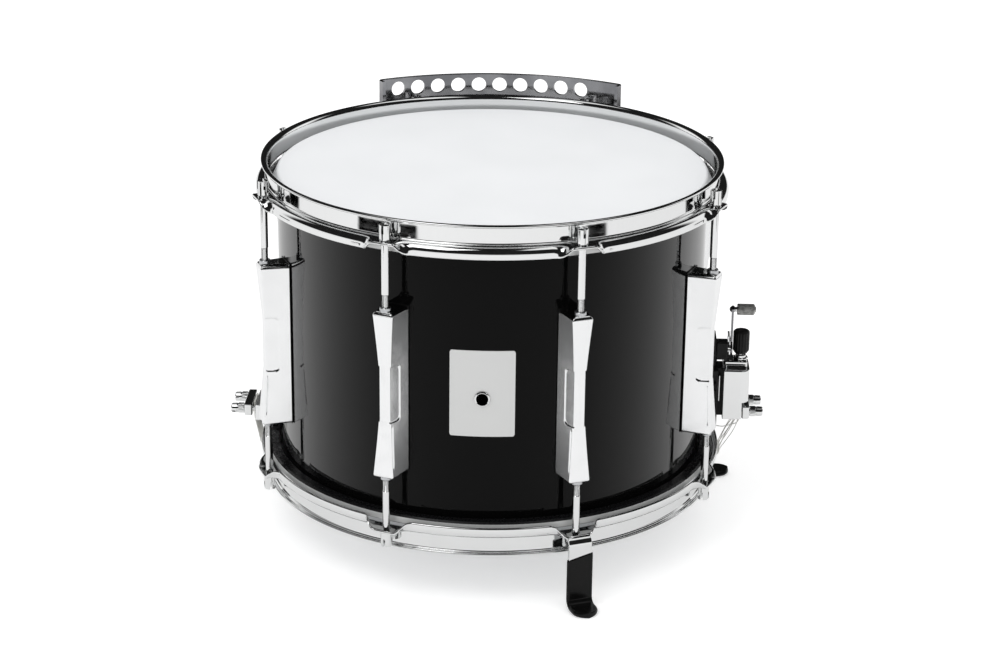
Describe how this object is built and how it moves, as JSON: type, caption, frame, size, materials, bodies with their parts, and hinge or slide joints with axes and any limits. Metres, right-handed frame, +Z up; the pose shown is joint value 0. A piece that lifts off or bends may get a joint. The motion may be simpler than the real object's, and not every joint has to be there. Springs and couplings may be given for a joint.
{
  "type": "marching snare drum",
  "caption": "Deep marching snare drum with pressed chrome hoops, free-standing lugs, carrying rail, throw-off strainer and rubber-sleeved feet.",
  "frame": {"origin": "centre of the batter head's playing surface", "axes": "+Z up out of the batter head, -Y towards the badge, +X towards the throw-off strainer, carrying rail on +Y"},
  "size_m": [0.45, 0.4163, 0.3308],
  "materials": {
    "shell_lacquer": "gloss black lacquer over wood ply",
    "film": "smooth white coated film",
    "anodised": "black anodised",
    "chrome": "mirror chrome plate",
    "badge_plate": "satin silver",
    "rubber": "dipped rubber, soft sheen",
    "black_plastic": "satin black",
    "steel": "machined, zinc plated",
    "strand": "coated gut, off white"
  },
  "bodies": {
    "drum": {"shell": "shell_lacquer", "batter_head": "film", "batter_flesh_hoop": "anodised", "snare_head": "film", "snare_flesh_hoop": "anodised", "batter_hoop": "chrome", "snare_hoop": "chrome", "lug_1": "chrome", "lug_2": "chrome", "lug_3": "chrome", "lug_4": "chrome", "lug_5": "chrome", "lug_6": "chrome", "lug_7": "chrome", "lug_8": "chrome", "badge": "badge_plate", "vent_grommet": "chrome", "carrying_rail": "chrome", "foot_front": "chrome", "foot_right": "chrome", "foot_left": "chrome", "foot_sleeve_front": "rubber", "foot_sleeve_right": "rubber", "foot_sleeve_left": "rubber", "strainer_base": "chrome", "pivot_block": "black_plastic", "butt_block": "chrome", "butt_plate": "chrome", "snare_strands": "strand", "strainer_strands": "strand"},
    "lever": {"throw_off_lever": "chrome", "lever_grip": "chrome"},
    "carriage": {"snare_carriage": "chrome"},
    "tension_knob": {"tension_knob": "black_plastic", "tension_spindle": "steel"},
    "strand_clamp": {"clamp_block": "steel", "clamp_plate": "chrome"},
    "clamp_screw_front": {"clamp_screw_front": "chrome"},
    "clamp_screw_rear": {"clamp_screw_rear": "chrome"},
    "butt_screw_front": {"butt_screw_front": "chrome"},
    "butt_screw_rear": {"butt_screw_rear": "chrome"},
    "top_rod_1": {"top_rod_1": "chrome"},
    "bottom_rod_1": {"bottom_rod_1": "chrome"},
    "top_rod_2": {"top_rod_2": "chrome"},
    "bottom_rod_2": {"bottom_rod_2": "chrome"},
    "top_rod_3": {"top_rod_3": "chrome"},
    "bottom_rod_3": {"bottom_rod_3": "chrome"},
    "top_rod_4": {"top_rod_4": "chrome"},
    "bottom_rod_4": {"bottom_rod_4": "chrome"},
    "top_rod_5": {"top_rod_5": "chrome"},
    "bottom_rod_5": {"bottom_rod_5": "chrome"},
    "top_rod_6": {"top_rod_6": "chrome"},
    "bottom_rod_6": {"bottom_rod_6": "chrome"},
    "top_rod_7": {"top_rod_7": "chrome"},
    "bottom_rod_7": {"bottom_rod_7": "chrome"},
    "top_rod_8": {"top_rod_8": "chrome"},
    "bottom_rod_8": {"bottom_rod_8": "chrome"}
  },
  "joints": [
    {"name": "snare_throw", "type": "slide", "parent": "drum", "child": "carriage", "axis": [0, 0, -1], "range_m": [0, 0.00985], "deforming": ["strainer_strands"]},
    {"name": "throw_off_turn", "type": "hinge", "parent": "drum", "child": "lever", "pos_m": [0.2018, 0, -0.155], "axis": [-1, 0, 0], "range_deg": [0, 76.01]},
    {"name": "clamp_slide", "type": "slide", "parent": "carriage", "child": "strand_clamp", "axis": [0, 0, 1], "range_m": [-0.0016, 0.0016]},
    {"name": "knob_turn", "type": "hinge", "parent": "carriage", "child": "tension_knob", "pos_m": [0.2109, 0, -0.172], "axis": [0, 0, 1], "range_deg": [-720.1, 720.1]},
    {"name": "clamp_screw_front_turn", "type": "hinge", "parent": "strand_clamp", "child": "clamp_screw_front", "pos_m": [0.215, -0.0127, -0.207], "axis": [1, 0, 0], "range_deg": [0, 1080]},
    {"name": "butt_screw_front_turn", "type": "hinge", "parent": "drum", "child": "butt_screw_front", "pos_m": [-0.205, -0.0127, -0.2148], "axis": [-1, 0, 0], "range_deg": [0, 1080]},
    {"name": "clamp_screw_rear_turn", "type": "hinge", "parent": "strand_clamp", "child": "clamp_screw_rear", "pos_m": [0.215, 0.0127, -0.207], "axis": [1, 0, 0], "range_deg": [0, 1080]},
    {"name": "butt_screw_rear_turn", "type": "hinge", "parent": "drum", "child": "butt_screw_rear", "pos_m": [-0.205, 0.0127, -0.2148], "axis": [-1, 0, 0], "range_deg": [0, 1080]},
    {"name": "top_rod_1_turn", "type": "hinge", "parent": "drum", "child": "top_rod_1", "pos_m": [0.07462, -0.18016, -0.027], "axis": [0, 0, 1], "range_deg": [-720, 720]},
    {"name": "bottom_rod_1_turn", "type": "hinge", "parent": "drum", "child": "bottom_rod_1", "pos_m": [0.07462, -0.18016, -0.227], "axis": [0, 0, -1], "range_deg": [-720, 720]},
    {"name": "top_rod_2_turn", "type": "hinge", "parent": "drum", "child": "top_rod_2", "pos_m": [0.18016, -0.07462, -0.027], "axis": [0, 0, 1], "range_deg": [-720, 720]},
    {"name": "bottom_rod_2_turn", "type": "hinge", "parent": "drum", "child": "bottom_rod_2", "pos_m": [0.18016, -0.07462, -0.227], "axis": [0, 0, -1], "range_deg": [-720, 720]},
    {"name": "top_rod_3_turn", "type": "hinge", "parent": "drum", "child": "top_rod_3", "pos_m": [0.18016, 0.07462, -0.027], "axis": [0, 0, 1], "range_deg": [-720, 720]},
    {"name": "bottom_rod_3_turn", "type": "hinge", "parent": "drum", "child": "bottom_rod_3", "pos_m": [0.18016, 0.07462, -0.227], "axis": [0, 0, -1], "range_deg": [-720, 720]},
    {"name": "top_rod_4_turn", "type": "hinge", "parent": "drum", "child": "top_rod_4", "pos_m": [0.07462, 0.18016, -0.027], "axis": [0, 0, 1], "range_deg": [-720, 720]},
    {"name": "bottom_rod_4_turn", "type": "hinge", "parent": "drum", "child": "bottom_rod_4", "pos_m": [0.07462, 0.18016, -0.227], "axis": [0, 0, -1], "range_deg": [-720, 720]},
    {"name": "top_rod_5_turn", "type": "hinge", "parent": "drum", "child": "top_rod_5", "pos_m": [-0.07462, 0.18016, -0.027], "axis": [0, 0, 1], "range_deg": [-720, 720]},
    {"name": "bottom_rod_5_turn", "type": "hinge", "parent": "drum", "child": "bottom_rod_5", "pos_m": [-0.07462, 0.18016, -0.227], "axis": [0, 0, -1], "range_deg": [-720, 720]},
    {"name": "top_rod_6_turn", "type": "hinge", "parent": "drum", "child": "top_rod_6", "pos_m": [-0.18016, 0.07462, -0.027], "axis": [0, 0, 1], "range_deg": [-720, 720]},
    {"name": "bottom_rod_6_turn", "type": "hinge", "parent": "drum", "child": "bottom_rod_6", "pos_m": [-0.18016, 0.07462, -0.227], "axis": [0, 0, -1], "range_deg": [-720, 720]},
    {"name": "top_rod_7_turn", "type": "hinge", "parent": "drum", "child": "top_rod_7", "pos_m": [-0.18016, -0.07462, -0.027], "axis": [0, 0, 1], "range_deg": [-720, 720]},
    {"name": "bottom_rod_7_turn", "type": "hinge", "parent": "drum", "child": "bottom_rod_7", "pos_m": [-0.18016, -0.07462, -0.227], "axis": [0, 0, -1], "range_deg": [-720, 720]},
    {"name": "top_rod_8_turn", "type": "hinge", "parent": "drum", "child": "top_rod_8", "pos_m": [-0.07462, -0.18016, -0.027], "axis": [0, 0, 1], "range_deg": [-720, 720]},
    {"name": "bottom_rod_8_turn", "type": "hinge", "parent": "drum", "child": "bottom_rod_8", "pos_m": [-0.07462, -0.18016, -0.227], "axis": [0, 0, -1], "range_deg": [-720, 720]}
  ],
  "couplings": [
    {"joint": "throw_off_turn", "follows": "snare_throw", "rad_per_m": 134.66},
    {"joint": "knob_turn", "follows": "clamp_slide", "rad_per_m": 7854}
  ]
}
